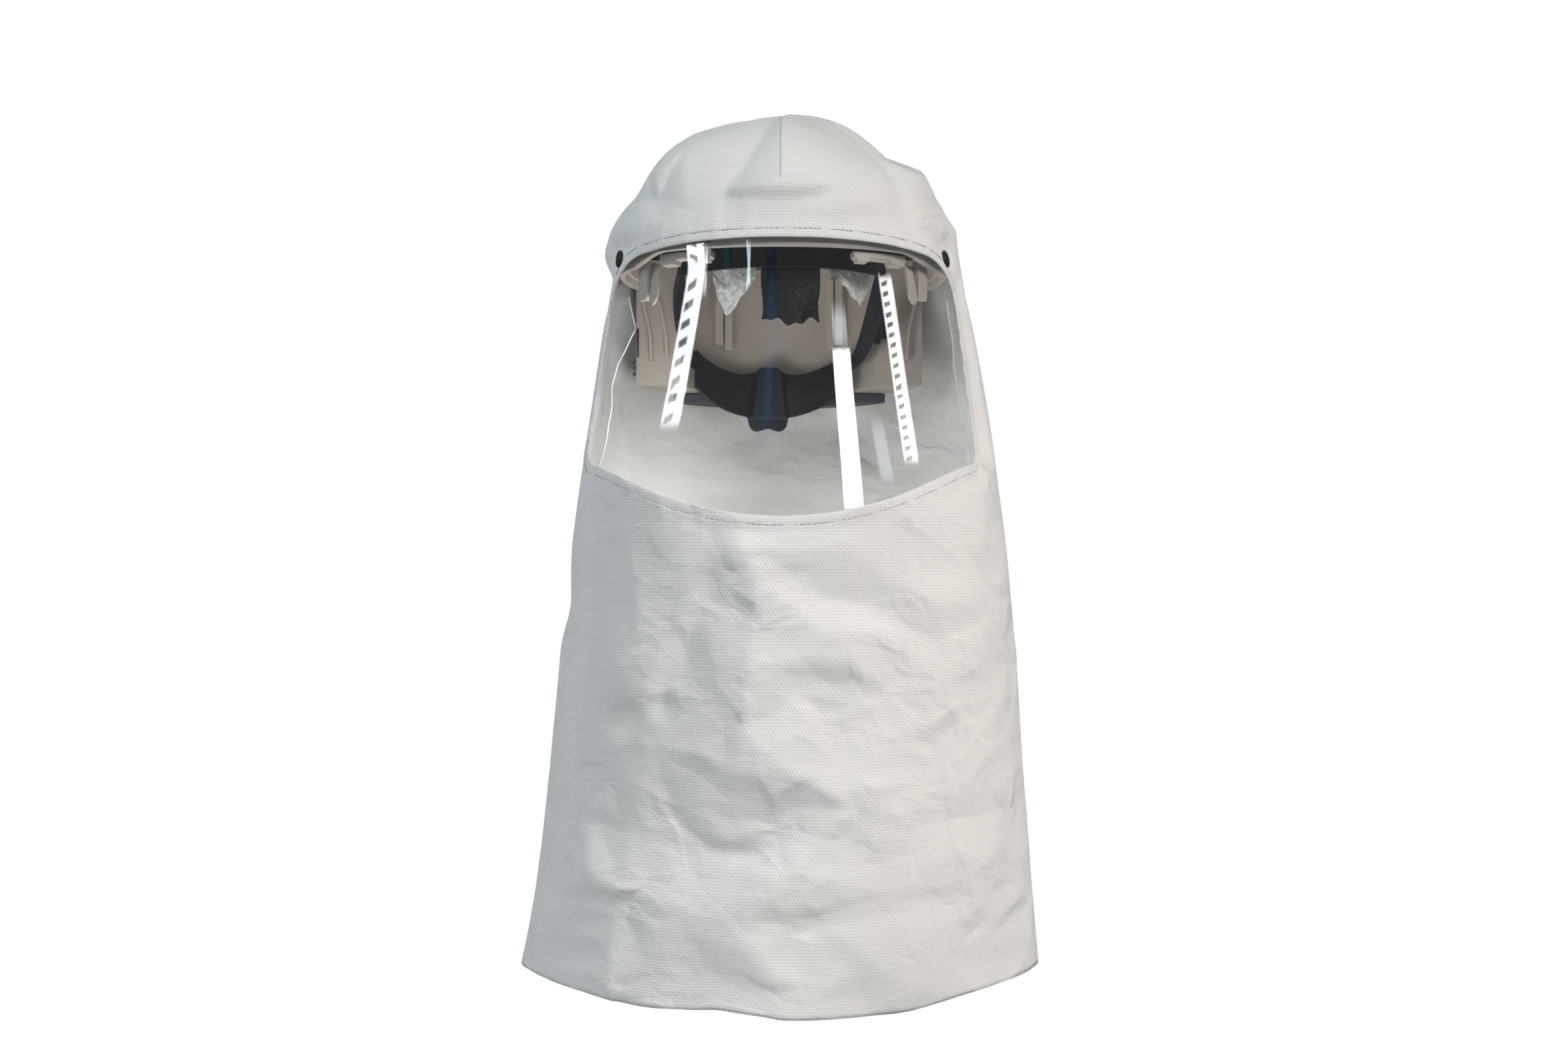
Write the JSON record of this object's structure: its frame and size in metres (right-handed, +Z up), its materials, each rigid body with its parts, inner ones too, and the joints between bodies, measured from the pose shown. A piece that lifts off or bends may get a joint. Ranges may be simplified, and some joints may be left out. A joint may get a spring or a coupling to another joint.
{
  "type": "powered air respirator hood",
  "caption": "White cloth respirator hood with a clear face lens snapped at the temples to a helmet whose headband is set by a knob at the nape.",
  "frame": {"origin": "middle of the headband ring at brow height, where the wearer's head is held", "axes": "+Z up along the head, the face looks to -Y, +X to the wearer's left"},
  "size_m": [0.3799, 0.3083, 0.6202],
  "materials": {
    "cloth": "white non-woven cloth with an embossed dot pattern",
    "lens": "clear film",
    "edge_tape": "pale tape",
    "snap": "black, worn bright in the middle",
    "helmet": "moulded beige grey",
    "seal": "dark foam strip",
    "band": "black, dusty",
    "flap": "black crinkled film",
    "film": "frosted crumpled film",
    "knob": "black"
  },
  "bodies": {
    "hood": {"hood_cloth": "cloth", "face_lens": "lens", "lens_edge_left": "edge_tape", "lens_edge_right": "edge_tape", "snap_left": "snap", "snap_right": "snap", "helmet_shell": "helmet", "brow_rim": "helmet", "lens_tab": "lens", "rear_housing": "helmet", "housing_seal": "seal", "side_pad": "band", "lens_rail_left": "helmet", "lens_rail_right": "helmet", "lens_lug_left": "helmet", "lens_lug_right": "helmet", "lug_plate_left": "helmet", "lug_plate_right": "helmet", "band_hook_left": "band", "band_hook_right": "band", "brow_band": "band", "side_strap_left": "band", "side_strap_right": "band", "nape_band": "band", "knob_cover": "knob", "comfort_flap": "flap", "pad_film_left": "film", "pad_film_right": "film"},
    "knob": {"nape_knob": "knob"}
  },
  "joints": [
    {"name": "knob_turn", "type": "hinge", "parent": "hood", "child": "knob", "pos_m": [-0.00906, 0.1036, -0.086], "axis": [-0.0872, 0.9962, 0], "range_deg": [-240, 240]}
  ]
}
